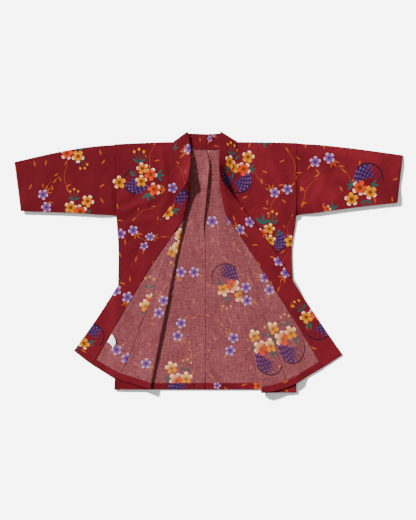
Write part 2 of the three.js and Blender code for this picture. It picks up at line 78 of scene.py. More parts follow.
HALVES = {
    "left": dict(
        mirror=-1,
        side=[(0, 284), (150, 275), (330, 272), (430, 271), (ARMPIT, 277), (SHOULDER_SEAM_Y, 279)],
        shoulder_drop=7,
        cuff_top=(588, 693),
        cuff_foot=(568, 544),
        sleeve_bow=9,
        fold_foot=(178, 0),
        fold_head=(41.5, 683),
        hem=[(-92, 18), (-40, 4), (20, -6), (60, -9), (110, -5), (175, 0), (280, 0)],
        back_hem_drop=0,
        back_seam_shift=0.1,
        back_seam_lip=1.8,
        band_seam=[
            (0, -22), (110, -10), (265, 12), (418, 43), (500, 58), (560, 72), (610, 90), (660, 103), (SHOULDER, 103),
        ],
        band_edge=[(0, -93), (247, -47), (415, -16), (530, 4), (600, 18), (650, 38), (710, 47), (785, 58)],
        overlap_seam=[(0, 72), (250, 63), (400, 59), (OVERLAP_TIP, 56)],
        stand_out=[(540, 0), (600, 5), (645, 17), (690, 6), (740, 0)],
        stand_up=[(540, 0), (600, 13), (645, 31), (690, 14), (740, 0)],
    ),
    "right": dict(
        mirror=1,
        side=[(0, 272), (150, 268), (330, 261), (430, 258), (ARMPIT, 271), (SHOULDER_SEAM_Y, 274)],
        shoulder_drop=3,
        cuff_top=(596, 714),
        cuff_foot=(579, 570),
        sleeve_bow=4,
        fold_foot=(166.5, 0),
        fold_head=(32, 683),
        hem=[(-114, 2), (-50, -10), (0, -17), (55, -25), (110, -22), (165, -11), (220, -9), (280, -9)],
        back_hem_drop=9,
        back_seam_shift=-0.5,
        back_seam_lip=0.3,
        band_seam=[
            (0, -44), (119, -28), (209, -11), (295, 6), (382, 25),
            (485, 42), (560, 56), (621, 67), (690, 82), (SHOULDER, 91),
        ],
        band_edge=[(0, -115), (281, -58), (385, -38), (491, -17), (580, 2), (650, 22), (710, 32), (785, 39)],
        overlap_seam=[(0, 73), (228, 56), (400, 49), (OVERLAP_TIP, 42.5)],
        stand_out=[(560, 0), (610, 2), (655, 9), (700, 5), (745, 0)],
        stand_up=[(560, 0), (610, 16), (655, 26), (700, 12), (745, 0)],
    ),
}
FOLD_RADIUS = [(0, 4), (130, 5), (270, 5), (400, 3.6), (520, 5.5), (640, 8.5), (700, 8.5)]
BACK_SEAM_X = [(0, -4.5), (440, -5), (500, -9), (560, -4), (640, 4), (690, 8), (BACK_NECK, 0)]
BACK_SEAM_RISE = [(0, 0), (440, 0), (500, 3), (560, 6), (640, 7), (690, 4), (BACK_NECK, 0)]
PLEAT_WIDTH = 11

# %% [markdown]
# ## Creases
# Cotton that was folded in a drawer keeps soft creases, and cloth that is turned at an armpit puckers. Each one is a
# ridge from one place to another on the cloth with a width and a height, and no two are alike.

# %% Creases on the cloth that lies on top: from (a, y), to (a, y), width, height
CREASES = {
    "left": [
        ((268, 535), (150, 590), 11, 4.0),
        ((272, 560), (185, 650), 12, 3.4),
        ((270, 545), (215, 560), 7, 3.0),
        ((272, 575), (235, 640), 7, 2.4),
        ((285, 545), (300, 640), 8, 4.2),
        ((296, 550), (322, 610), 8, 3.0),
        ((262, 500), (165, 520), 11, 3.2),
        ((262, 420), (215, 440), 10, 3.6),
        ((262, 385), (222, 360), 9, 3.0),
        ((268, 455), (240, 470), 6, 2.4),
        ((140, 730), (118, 600), 11, 4.0),
        ((170, 735), (160, 640), 12, 2.4),
        ((230, 730), (215, 660), 14, 2.0),
        ((120, 590), (150, 520), 10, 2.8),
        ((170, 600), (205, 520), 13, 2.2),
        ((355, 560), (340, 690), 18, 2.6),
        ((405, 570), (430, 680), 20, 2.2),
        ((520, 590), (470, 680), 22, 2.4),
        ((560, 560), (545, 610), 14, 2.0),
        ((330, 545), (380, 560), 12, 2.2),
    ],
    "right": [
        ((268, 535), (225, 640), 11, 4.2),
        ((262, 532), (200, 585), 10, 3.2),
        ((276, 545), (262, 660), 8, 4.0),
        ((268, 540), (232, 560), 7, 3.0),
        ((290, 545), (310, 640), 8, 4.2),
        ((300, 550), (345, 605), 9, 3.2),
        ((258, 440), (225, 430), 9, 4.2),
        ((255, 405), (228, 385), 8, 3.8),
        ((262, 470), (236, 462), 6, 2.8),
        ((190, 730), (220, 640), 13, 3.2),
        ((150, 735), (140, 690), 12, 2.4),
        ((160, 700), (190, 610), 12, 2.8),
        ((215, 600), (240, 520), 12, 2.6),
        ((130, 640), (165, 560), 12, 2.2),
        ((350, 600), (365, 700), 18, 3.0),
        ((430, 590), (480, 690), 22, 2.4),
        ((530, 600), (520, 690), 20, 2.0),
        ((385, 575), (410, 610), 12, 2.2),
        ((470, 585), (505, 600), 10, 2.0),
    ],
}

# %% Smooth curves through a table
def lerp(start, end, t):
    return start + (end - start) * t


def clamp01(t):
    return min(1.0, max(0.0, t))


def smooth(t):
    t = clamp01(t)
    return t * t * (3 - 2 * t)


def steps(n, start=0.0, end=1.0):
    return [lerp(start, end, i / n) for i in range(n + 1)]


def curve(table, x):
    last = len(table) - 1
    i = next((k for k, row in enumerate(table) if row[0] > x), last) - 1
    i = max(0, min(i, last - 1))

    def slope(k):
        before, after = table[max(0, k - 1)], table[min(last, k + 1)]
        return (after[1] - before[1]) / (after[0] - before[0])

    (x0, y0), (x1, y1) = table[i], table[i + 1]
    span = x1 - x0
    t = clamp01((x - x0) / span)
    inside = (
        (2 * t**3 - 3 * t**2 + 1) * y0
        + (t**3 - 2 * t**2 + t) * span * slope(i)
        + (3 * t**2 - 2 * t**3) * y1
        + (t**3 - t**2) * span * slope(i + 1)
    )
    beyond = min(0, x - x0) * slope(0) if i == 0 else 0
    if i == last - 1:
        beyond += max(0, x - x1) * slope(last)
    return inside + beyond


print("band seam at 300 mm:", round(curve(HALVES["left"]["band_seam"], 300), 1))

# %% [markdown]
# ## How a half lies
# One class knows how the flat cut of a half lies on the floor: the back flat, the front on it with its creases, and
# everything past the fold line rolled over and laid back on top. A round roll of cloth is what makes a fold look
# soft, so the turn follows a half circle before it settles.

# %% The lie of one half
class Half:
    def __init__(self, name):
        self.__dict__.update(HALVES[name])
        self.name = name
        self.creases = CREASES[name]
        foot, head = Vector(self.fold_foot), Vector(self.fold_head)
        self.foot = foot
        self.way = (head - foot).normalized()
        self.out = Vector((-self.way.y, self.way.x))

    def side_at(self, y):
        return curve(self.side, y)

    def shoulder_at(self, a):
        across = clamp01((a - NECK_WIDTH) / (self.side_at(SHOULDER_SEAM_Y) - NECK_WIDTH))
        return SHOULDER - self.shoulder_drop * across**1.6

    def back_seam_at(self, y):
        shift = self.back_seam_shift * max(0, curve(BACK_SEAM_RISE, y))
        return self.mirror * curve(BACK_SEAM_X, y) + SEAM / 2 + shift

    def crease(self, a, y):
        height = 0
        for (a0, y0), (a1, y1), width, top in self.creases:
            da, dy = a1 - a0, y1 - y0
            t = clamp01(((a - a0) * da + (y - y0) * dy) / (da * da + dy * dy))
            off = math.hypot(a - a0 - t * da, y - y0 - t * dy) / width
            if off < 3:
                height += top * math.exp(-off * off) * (0.35 + 0.65 * math.sin(math.pi * (0.15 + 0.7 * t)))
        return height

    def ripple(self, a, y):
        place = Vector((self.mirror * a / 70, y / 55, 3.1))
        fine = Vector((self.mirror * a / 24, y / 31, 9.7))
        return 1.1 * (noise.noise(place) + 0.5) + 0.35 * (noise.noise(fine) + 0.5)

    def lay_back(self, a, y, lift=0.0):
        away = (a - self.back_seam_at(y)) / PLEAT_WIDTH
        rise = self.back_seam_lip * max(0, curve(BACK_SEAM_RISE, y)) * math.exp(-away * away * 2)
        drop = self.back_hem_drop * smooth((a - 190) / 80) * smooth(1 - y / HEM_REACH)
        return Vector((a, y - drop, CLOTH / 2 + rise + lift))

    def past_fold(self, a, y):
        return (a - self.foot.x) * self.out.x + (y - self.foot.y) * self.out.y

    def front_height(self, a, y):
        over_hem = (CLOTH + SEAM) * smooth((HEM_TURN + 60 - y) / 50)
        from_side = smooth((self.side_at(y) - a) / 26) if y < ARMPIT else 1
        from_shoulder = smooth((self.shoulder_at(a) - y) / 30)
        clear_of_fold = smooth((-self.past_fold(a, y) - 6) / 40)
        puff = 0.6 + self.ripple(a, y) + self.crease(a, y) * clear_of_fold
        return CLOTH * 1.5 + SEAM + over_hem + puff * from_side * from_shoulder

    def rest_height(self, a, y, thickness):
        pile = lerp(self.front_height(a, y) + CLOTH / 2, ARMPIT_PILE, smooth((y - OVERLAP_TIP) / 90)) + LOFT
        outside = a - self.side_at(y) - 3
        return lerp(pile, 0, smooth(outside / 30)) + thickness / 2

    def lay(self, a, level, thickness, base):
        y = level + curve(self.hem, a) * smooth(1 - level / HEM_REACH)
        past = self.past_fold(a, y)
        if past <= 0:
            return Vector((a, y, base))
        fold_a, fold_y = a - past * self.out.x, y - past * self.out.y
        radius = curve(FOLD_RADIUS, fold_y)
        turn = min(math.pi, past / radius)
        back = past - turn * radius
        out = radius * math.sin(turn) - back
        place = Vector((fold_a + out * self.out.x, fold_y + out * self.out.y, 0))
        rolled = base + radius * (1 - math.cos(turn))
        place.z = lerp(rolled, self.rest_height(place.x, place.y, thickness), smooth(back / SETTLE))
        return place

    def lay_front(self, a, y):
        past = self.past_fold(a, y)
        near = (a - past * self.out.x, y - past * self.out.y) if past > 0 else (a, y)
        return self.lay(a, y, CLOTH, self.front_height(*near))


# %% [markdown]
# ## From points to cloth
# A sheet collects rows of points with their places in the flat cut. The flat places become the UV map, so a print
# drawn on the UV map lies on the cloth just as it was printed before sewing. Two modifiers finish each sheet:
# Subdivision rounds it and Solidify gives it the thickness of cloth. Solidify can put the next material on the back,
# and that is how the wrong side gets its paler look.

# %% A sheet of cloth
MIDDLE_X = (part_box("collar_left")[1][0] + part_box("collar_right")[0][0]) / 2
HEM_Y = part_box("hem_back_left")[0][1]
NO_SEAM = 1000.0
LOWEST = 0.2


def in_frame(half, point):
    return half.mirror * point.x * MM + MIDDLE_X, point.y * MM + HEM_Y, max(point.z, LOWEST) * MM


class Sheet:
    def __init__(self):
        self.points = []
        self.places = []
        self.seams = []
        self.quads = []
        self.known = {}

    def index(self, point, place, seam=NO_SEAM):
        key = tuple(round(v * 100) for v in point)
        if key not in self.known:
            self.known[key] = len(self.points)
            self.points.append(point)
            self.places.append(place)
            self.seams.append(seam * MM)
        return self.known[key]

    def add_rows(self, rows):
        ids = [[self.index(*cell) for cell in row] for row in rows]
        for low, high in zip(ids, ids[1:]):
            for k in range(1, len(low)):
                quad = [low[k - 1], low[k], high[k], high[k - 1]]
                if len(set(quad)) == 4:
                    self.quads.append(quad)
        return self

    def make(self, name, half, thickness, printed_side, face, wrong):
        mesh = bpy.data.meshes.new(name)
        mesh.from_pydata([in_frame(half, point) for point in self.points], [], self.quads)
        if (mesh.polygons[printed_side[0]].normal.z > 0) != printed_side[1]:
            mesh.flip_normals()
        layer = mesh.uv_layers.new(name="Cut")
        for loop in mesh.loops:
            a, y = self.places[loop.vertex_index]
            layer.data[loop.index].uv = (half.mirror * a * MM, y * MM)
        mesh.attributes.new("Seam", "FLOAT", "POINT").data.foreach_set("value", self.seams)
        mesh.polygons.foreach_set("use_smooth", [True] * len(mesh.polygons))
        piece = bpy.data.objects.new(name, mesh)
        bpy.context.scene.collection.objects.link(piece)
        mesh.materials.append(face)
        mesh.materials.append(wrong)
        rounding = piece.modifiers.new("Rounding", "SUBSURF")
        rounding.levels = rounding.render_levels = 1
        rounding.boundary_smooth = "PRESERVE_CORNERS"
        wall = piece.modifiers.new("Cloth", "SOLIDIFY")
        wall.thickness = thickness * MM
        wall.offset = 0
        wall.material_offset = 1
        print(name, "has", len(mesh.polygons), "faces before rounding")
        return piece


# %% [markdown]
# ## The print
# The cloth is printed with sprays of flowers: a half-moon basket full of blossoms, a smaller posy, a looser bouquet,
# pairs of small lavender blossoms with golden leaves, and thin golden vines. A printed cloth repeats a few such sprays
# in many places and turns, so each spray is one short list, and the places are a second list, both on the flat cut.
# Single golden leaves are strewn between the sprays. They need no list, because the shader can strew them by itself.

# %% Sprays: kind of motif, x, y, radius, turn
SPRAYS = {
    "basketful": [
        ("basket", 0, 0, 41, 0),
        ("greens", -25, -15, 15, -105),
        ("greens", -5, 55, 14, 60),
        ("buds", -75, 25, 21, 165),
        ("orange", -20, 30, 22, 105),
        ("yellow", -40, 5, 20, 150),
        ("yellow", -45, 60, 20, 135),
    ],
    "posy": [
        ("basket", 0, 0, 38, 0),
        ("greens", -25, -10, 14, -105),
        ("buds", -65, 10, 21, 180),
        ("orange", -15, 35, 20, 105),
        ("yellow", -40, 10, 20, 150),
    ],
    "bouquet": [
        ("basket", 0, 0, 40, 0),
        ("greens", -10, -25, 12, 180),
        ("greens", -65, 40, 17, 135),
        ("greens", 10, 60, 19, 45),
        ("buds", -60, -50, 25, 225),
        ("orange", -45, 15, 21, 195),
        ("orange", -20, 55, 21, 165),
        ("yellow", -10, 10, 19, 225),
        ("yellow", -40, -15, 19, 240),
        ("yellow", 40, -35, 21, -60),
    ],
    "pair": [
        ("leaves", 30, -20, 16, -75),
        ("leaf", -40, -10, 9, 210),
        ("leaf", 50, -45, 9, -60),
        ("vine", 50, -50, 34, -60),
        ("lavender", -20, 0, 16, 0),
        ("lavender", 20, 0, 16, 30),
    ],
    "vine": [
        ("vine", 0, 0, 42, 0),
        ("leaf", -45, -5, 10, 195),
        ("leaf", -10, 20, 9, 30),
        ("leaf", 45, 0, 10, -30),
    ],
}
SINGLE_RADIUS = {"yellow": 20, "orange": 20, "lavender": 16, "leaves": 17, "greens": 17, "buds": 22}

# %% Places of the sprays, in steps of 5 mm and 15 degrees: name, a, y along the cloth, turn, size, and True to flip
OVERLAP_CUT = 2000  # the overlap panel is cut from another place on the cloth
LAID_OUT = {
    "left": [
        ("bouquet", 215, 635, -135, 1),
        ("leaves", 140, 610, 180, 1),
        ("lavender", 105, 615, 0, 1),
        ("vine", 170, 715, 75, 0.8),
        ("vine", 195, 540, 30, 0.8),
        ("vine", 130, 520, 60, 0.9),
        ("pair", 245, 480, 15, 1),
        ("pair", 185, 450, 60, 0.8),
        ("yellow", 70, 470, 0, 1),
        ("yellow", 85, 440, 60, 1),
        ("yellow", 70, 415, 90, 1),
        ("buds", 90, 395, -105, 1),
        ("pair", 100, 245, 90, 1),
        ("lavender", 125, 70, 0, 1),
        ("leaves", 145, 60, -120, 0.8),
        ("greens", 95, 10, -120, 0.8),
        ("pair", 190, 960, 45, 1),
        ("vine", 120, 1050, 15, 1),
        ("basketful", 200, 1130, 195, 1),
        ("pair", 60, 1150, 180, 1),
        ("pair", 85, 1325, 105, 1),
        ("pair", 205, 1330, -60, 1),
        ("vine", 65, 1400, -75, 0.8),
        ("basketful", 80, 1510, 120, 1),
        ("posy", 405, 750, 120, 1),
        ("basketful", 410, 515, -75, 1),
        ("pair", 495, 575, 105, 1),
        ("vine", 430, 650, 90, 0.9),
        ("vine", 480, 620, 60, 0.9),
        ("pair", 350, 800, 15, 1),
        ("basketful", 520, 850, 30, 0.9),
        ("pair", 45, 70 + OVERLAP_CUT, 195, 1),
        ("greens", 65, 205 + OVERLAP_CUT, -105, 0.8),
        ("yellow", 55, 230 + OVERLAP_CUT, 60, 1),
        ("orange", 60, 255 + OVERLAP_CUT, 90, 0.8),
        ("buds", 40, 300 + OVERLAP_CUT, 75, 1),
    ],
    "right": [
        ("basketful", 95, 640, -60, 1),
        ("greens", 175, 750, -90, 1.2),
        ("vine", 260, 690, -75, 1),
        ("pair", 225, 605, 195, 1),
        ("vine", 205, 570, 60, 1),
        ("vine", 250, 500, 75, 0.7),
        ("bouquet", 205, 455, -45, 0.9, True),
        ("greens", 170, 520, 90, 1.3),
        ("lavender", 55, 515, 0, 1),
        ("vine", 80, 400, -75, 1),
        ("pair", 85, 285, -75, 1),
        ("basketful", 100, 85, -45, 1),
        ("pair", 190, 940, -45, 1),
        ("lavender", 15, 995, 15, 1.1),
        ("vine", 40, 1060, 75, 1.1),
        ("basketful", 205, 1080, 15, 1),
        ("basketful", 55, 1165, -75, 1),
        ("pair", 210, 1300, 60, 1),
        ("vine", 50, 1300, 75, 0.8),
        ("pair", 75, 1370, -75, 1),
        ("lavender", 30, 1520, 0, 0.7),
        ("orange", 155, 1520, 0, 0.8),
        ("pair", 350, 700, 15, 1.1),
        ("vine", 310, 610, 60, 1.1),
        ("basketful", 490, 645, 105, 1.1),
        ("greens", 380, 560, 90, 1),
        ("orange", 365, 550, 0, 0.6),
        ("basketful", 380, 830, 165, 1),
        ("pair", 530, 810, -30, 1),
        ("basketful", 20, 90 + OVERLAP_CUT, -60, 1),
        ("pair", 15, 290 + OVERLAP_CUT, 90, 1),
        ("vine", 30, 380 + OVERLAP_CUT, -75, 1),
    ],
}
# The same for the collar band, whose places are across it from the seam, and along it from the hem.
BAND_LAID_OUT = {
    "left": [
        ("basketful", 45, 75, 90, 0.9),
        ("pair", 35, 230, 0, 1.1),
        ("pair", 55, 400, 90, 0.8),
        ("basketful", 50, 540, 90, 1),
        ("vine", 25, 650, 75, 0.8),
        ("leaves", 35, 710, 30, 1.2),
        ("lavender", 55, 710, 0, 1),
        ("greens", 5, 740, 135, 0.9),
    ],
    "right": [
        ("basketful", 50, 110, -60, 1),
        ("pair", 55, 310, -90, 1),
        ("pair", 30, 470, 180, 1),
        ("basketful", 0, 650, -120, 1, True),
        ("pair", 50, 845, -60, 0.8),
    ],
}


# %% From sprays to motifs
def motifs(rows, mirror):
    found = []
    for name, a, y, turn, size, *flip in rows:
        spray = SPRAYS.get(name) or [(name, 0, 0, SINGLE_RADIUS[name], 0)]
        way = -1 if flip else 1
        cos, sin = math.cos(math.radians(turn)), math.sin(math.radians(turn))
        for kind, px, py, radius, own_turn in spray:
            px, py = px * size, way * py * size
            place = (mirror * a + cos * px - sin * py, y + sin * px + cos * py)
            found.append((kind, *place, radius * size, turn + way * own_turn))
    return found


print("motifs on the left cloth:", len(motifs(LAID_OUT["left"], -1)))

# %% [markdown]
# ## Drawing with nodes
# A print could be a picture, but drawn with shader nodes it stays sharp at any distance. It takes three steps. A
# chain of comparisons goes through the motifs and keeps the centre, turn and size of the one nearest to a place on the
# cloth. One rotation and one division then turn that place into the motif's own coordinates. Last, each kind of motif
# is drawn once, in those coordinates: a blossom is one petal repeated round the circle, a leaf is where a curve is
# wider than the distance from its middle. A Voronoi pattern gives the loose leaves their centres, one to a cell. A
# small helper class keeps such long sums of nodes readable.

# %% A helper for sums of nodes
class Recipe:
    def __init__(self, tree):
        self.tree = tree

    def node(self, kind, feeds, output=0, **settings):
        node = self.tree.nodes.new("ShaderNode" + kind)
        for name, value in settings.items():
            setattr(node, name, value)
        for socket, value in feeds.items():
            if isinstance(value, bpy.types.NodeSocket):
                self.tree.links.new(value, node.inputs[socket])
            else:
                node.inputs[socket].default_value = value
        return node.outputs[output]

    def math(self, operation, *values):
        return self.node("Math", dict(enumerate(values)), operation=operation)

    def vector(self, operation, *values, output=0):
        return self.node("VectorMath", dict(enumerate(values)), output, operation=operation)

    def length(self, vector):
        return self.vector("LENGTH", vector, output=1)

    def mix(self, amount, low, high):
        return self.node("Mix", {0: amount, 2: low, 3: high})

    def mix_vector(self, amount, low, high):
        return self.node("Mix", {0: amount, 4: low, 5: high}, 1, data_type="VECTOR")

    def mix_colour(self, amount, low, high):
        low, high = (c if isinstance(c, bpy.types.NodeSocket) else (*c, 1) for c in (low, high))
        return self.node("Mix", {0: amount, 6: low, 7: high}, 2, data_type="RGBA")

    def ramp(self, value, start, end):
        return self.node("MapRange", {0: value, 1: start, 2: end}, interpolation_type="SMOOTHSTEP")

    def local(self, place, x, y, turn, across, along):
        feeds = {0: place, 1: (x, y, 0), 2: (0, 0, math.radians(turn)), 3: (across, along, 1)}
        return self.node("Mapping", feeds, vector_type="TEXTURE")

    def split(self, vector):
        return self.node("SeparateXYZ", {0: vector}).node.outputs[:]

    def noise(self, vector, scale, detail=2.0):
        return self.node("TexNoise", {"Vector": vector, "Scale": scale, "Detail": detail})


# %% Dyes, and two reds that paint light and shade on the red ground
PAINTED_SHADE_RED = (0.090, 0.0053, 0.0090)
PAINTED_LIGHT_RED = (0.134, 0.0079, 0.0134)
SHADED_RED = (0.078, 0.0042, 0.0078)
GOLD = (0.285, 0.056, 0.008)
YELLOW = (0.46, 0.155, 0.002)
ORANGE = (0.46, 0.036, 0.006)
LAVENDER = (0.185, 0.078, 0.26)
VIOLET = (0.045, 0.014, 0.075)
PALE = (0.88, 0.72, 0.64)
CREAM = (0.80, 0.47, 0.19)
TEAL = (0.006, 0.060, 0.050)
DARK_TEAL = (0.006, 0.024, 0.026)
PURPLE = (0.062, 0.019, 0.092)
BASKET_SHADE = (0.008, 0.004, 0.012)
BROWN = (0.12, 0.022, 0.004)
BLOSSOMS = ["yellow", "orange", "lavender"]
SPRIGS = ["leaf", "leaves", "greens", "buds"]


# %% A point seen from a centre and turned, on the cloth
def seen_from(recipe, cloth_place, centre, angle):
    offset = recipe.vector("MULTIPLY", recipe.vector("SUBTRACT", cloth_place, centre), (1, 1, 0))
    return recipe.node("VectorRotate", {0: offset, 3: angle}, rotation_type="Z_AXIS")


# %% The nearest motif of some kinds: a point in its own coordinates, and which kind it is
REACH = 1.1
NO_SPOT = (9, 9, 0)


def nearest(recipe, cloth_place, rows, kinds):
    best, spot, form = REACH, NO_SPOT, (1, 0, 0)
    for kind, x, y, radius, turn in rows:
        if kind in kinds:
            centre = (x * MM, y * MM, math.radians(turn))
            away = recipe.vector("DISTANCE", cloth_place, (x * MM, y * MM, 0), output=1)
            away = recipe.math("DIVIDE", away, radius * MM)
            nearer = recipe.math("LESS_THAN", away, best)
            spot = recipe.mix_vector(nearer, spot, centre)
            form = recipe.mix_vector(nearer, form, (radius * MM, kinds.index(kind), 0))
            best = recipe.math("MINIMUM", away, best)
    turn = recipe.split(spot)[2]
    radius, chosen, _ = recipe.split(form)
    turned = seen_from(recipe, cloth_place, spot, recipe.math("MULTIPLY", turn, -1.0))
    size = recipe.node("CombineXYZ", {0: radius, 1: radius, 2: 1.0})
    return recipe.vector("DIVIDE", turned, size), chosen


# %% Blossoms
def draw_blossoms(recipe, place, kind):
    x, y, _ = recipe.split(place)
    radius = recipe.length(place)
    angle = recipe.math("ARCTAN2", y, x)
    folded = recipe.math("WRAP", angle, math.pi / 5, -math.pi / 5)
    along = recipe.math("MULTIPLY", radius, recipe.math("COSINE", folded))
    across = recipe.math("ABSOLUTE", recipe.math("MULTIPLY", radius, recipe.math("SINE", folded)))
    petal_place = recipe.node("CombineXYZ", {0: along, 1: across})
    petal = recipe.length(recipe.local(petal_place, 0.60, 0, 0, 0.40, 0.335))
    notch = recipe.math("MULTIPLY", recipe.ramp(across, 0.12, 0.0), recipe.ramp(along, 0.80, 1.0))
    petal = recipe.math("MULTIPLY_ADD", notch, 0.22, petal)
    heart = recipe.ramp(radius, 0.36, 0.31)
    cover = recipe.math("MAXIMUM", recipe.ramp(petal, 1.0, 0.93), heart)

    is_orange = recipe.math("GREATER_THAN", kind, 0.5)
    is_lavender = recipe.math("GREATER_THAN", kind, 1.5)
    body = recipe.mix_colour(is_orange, YELLOW, ORANGE)
    body = recipe.mix_colour(is_lavender, body, LAVENDER)
    throat = recipe.mix_colour(is_lavender, BROWN, VIOLET)
    tip = recipe.ramp(along, 0.58, 0.98)
    sunny = recipe.mix(is_lavender, recipe.ramp(x, -0.35, 0.65), 0.42)
    colour = recipe.mix_colour(recipe.math("MULTIPLY", tip, sunny), body, PALE)
    throat_reach = recipe.mix(is_lavender, 0.42, 0.74)
    glow = recipe.math("SUBTRACT", 1.0, recipe.math("DIVIDE", radius, throat_reach))
    stamens = recipe.math("MULTIPLY", recipe.ramp(across, 0.06, 0.02), recipe.ramp(radius, 0.62, 0.40))
    gap = recipe.math("MULTIPLY", recipe.ramp(petal, 0.84, 0.99), recipe.ramp(along, 0.8, 0.45))
    depth = recipe.math("MAXIMUM", recipe.math("MAXIMUM", glow, recipe.math("MULTIPLY", stamens, 0.75)), gap)
    warm = recipe.math("MULTIPLY", cover, recipe.math("SUBTRACT", 1.0, is_lavender))
    warm = recipe.math("MULTIPLY", warm, recipe.ramp(x, -0.35, 0.55))
    return recipe.mix_colour(depth, colour, throat), cover, warm


# %% Leaves and buds
def blade(recipe, place, x, y, turn, length, width):
    along, across, _ = recipe.split(recipe.local(place, x, y, turn, length, width))
    across = recipe.math("ABSOLUTE", across)
    bulge = recipe.math("MULTIPLY", along, recipe.math("SUBTRACT", 4.0, recipe.math("MULTIPLY", along, 4.0)))
    return recipe.ramp(recipe.math("SUBTRACT", bulge, across), 0.0, 0.22)


def single_leaf(recipe, place):
    return blade(recipe, place, -1.0, -0.08, 5, 2.0, 0.25)


def fan(recipe, place, base, turns, length, width):
    cover = 0.0
    for turn in turns:
        cover = recipe.math("MAXIMUM", blade(recipe, place, base, 0, turn, length, width), cover)
    return cover


def draw_sprigs(recipe, place, kind):
    leaf = single_leaf(recipe, place)
    leaves = fan(recipe, place, -0.75, (-42, 0, 40), 1.4, 0.15)
    greens = fan(recipe, place, -0.8, (-46, 0, 46), 1.5, 0.21)
    stems = fan(recipe, place, -0.95, (-23, 0, 23), 1.6, 0.03)
    bud_leaves = fan(recipe, place, -0.85, (-62, 58), 0.95, 0.16)
    buds = 0.0
    for x, y in ((0.78, 0.0), (0.48, 0.58), (0.48, -0.58)):
        away = recipe.length(recipe.local(place, x, y, 0, 0.2, 0.17))
        buds = recipe.math("MAXIMUM", recipe.ramp(away, 1, 0.85), buds)
    is_fan = recipe.math("GREATER_THAN", kind, 0.5)
    is_green = recipe.math("GREATER_THAN", kind, 1.5)
    is_buds = recipe.math("GREATER_THAN", kind, 2.5)
    green_cover = recipe.math("MAXIMUM", stems, bud_leaves)
    cover = recipe.mix(is_fan, leaf, leaves)
    cover = recipe.mix(is_green, cover, greens)
    cover = recipe.mix(is_buds, cover, recipe.math("MAXIMUM", green_cover, buds))
    dark_edge = recipe.ramp(cover, 0.55, 1.0)
    green = recipe.mix_colour(dark_edge, DARK_TEAL, TEAL)
    colour = recipe.mix_colour(is_green, GOLD, green)
    return recipe.mix_colour(recipe.math("MULTIPLY", is_buds, buds), colour, YELLOW), cover


# %% Baskets and vines
LATTICE = 9.5


def draw_baskets(recipe, place):
    x, y, _ = recipe.split(place)
    radius = recipe.length(place)
    inside = recipe.ramp(radius, 0.96, 0.92)
    mouth = recipe.length(recipe.local(place, -0.95, 0, 0, 1, 1))
    belly = recipe.math("MULTIPLY", inside, recipe.ramp(mouth, 0.90, 1.0))
    bent = recipe.math("MULTIPLY_ADD", recipe.math("MULTIPLY", y, y), 0.45, x)
    weft = recipe.math("SINE", recipe.math("MULTIPLY", recipe.math("ADD", bent, y), LATTICE))
    warp = recipe.math("SINE", recipe.math("MULTIPLY", recipe.math("SUBTRACT", bent, y), LATTICE))
    strand = recipe.math("MINIMUM", recipe.math("ABSOLUTE", weft), recipe.math("ABSOLUTE", warp))
    colour = recipe.mix_colour(recipe.ramp(strand, 0.2, 0.6), BASKET_SHADE, PURPLE)
    lit = recipe.math("MULTIPLY", recipe.ramp(strand, 0.6, 0.95), recipe.ramp(radius, 0.45, 0.85))
    lit = recipe.math("MULTIPLY", lit, 0.35)
    colour = recipe.mix_colour(lit, colour, LAVENDER)
    strokes = recipe.math("MULTIPLY", recipe.ramp(recipe.math("ABSOLUTE", weft), 0.4, 0.15), 0.7)
    strokes = recipe.math("MULTIPLY", strokes, recipe.ramp(y, -0.95, -0.6))
    brushed = recipe.math("MAXIMUM", recipe.ramp(y, -0.6, -0.1), strokes)
    belly = recipe.math("MULTIPLY", belly, brushed)
    edge = recipe.math("ABSOLUTE", recipe.math("SUBTRACT", radius, 0.99))
    arc = recipe.math("MULTIPLY", recipe.ramp(edge, 0.055, 0.03), recipe.ramp(y, 0.75, 0.4))
    arc = recipe.math("MULTIPLY", arc, recipe.ramp(x, -0.6, -0.2))
    colour = recipe.mix_colour(recipe.math("GREATER_THAN", arc, 0.01), colour, BASKET_SHADE)
    return colour, recipe.math("MAXIMUM", belly, arc)


def draw_vines(recipe, place):
    x, y, _ = recipe.split(place)
    arch = recipe.math("MULTIPLY_ADD", recipe.math("MULTIPLY", x, x), 0.34, y)
    line = recipe.ramp(recipe.math("ABSOLUTE", recipe.math("SUBTRACT", arch, 0.14)), 0.028, 0.012)
    ends = recipe.ramp(recipe.math("ABSOLUTE", x), 1.0, 0.9)
    return recipe.math("MULTIPLY", recipe.math("MULTIPLY", line, ends), 0.55)


# %% Loose leaves, one to a cell of a Voronoi pattern, each with its own turn
LEAF_GAP = 0.055
LEAF_SIZE = 0.01
LEAF_SHARE = 0.65


def draw_loose_leaves(recipe, cloth_place):
    feeds = {"Vector": cloth_place, "Scale": 1 / LEAF_GAP, "Randomness": 0.7}
    centre = recipe.node("TexVoronoi", feeds, "Position", voronoi_dimensions="2D")
    chance, turn, _ = recipe.split(centre.node.outputs["Color"])
    turned = seen_from(recipe, cloth_place, centre, recipe.math("MULTIPLY", turn, math.tau))
    leaf = single_leaf(recipe, recipe.vector("DIVIDE", turned, (LEAF_SIZE, LEAF_SIZE, 1)))
    return recipe.math("MULTIPLY", leaf, recipe.math("LESS_THAN", chance, LEAF_SHARE))


# %% A print as a node group: its colour, where it covers the cloth, and where its blossoms and warm blossoms are
SHOWS = 0.01


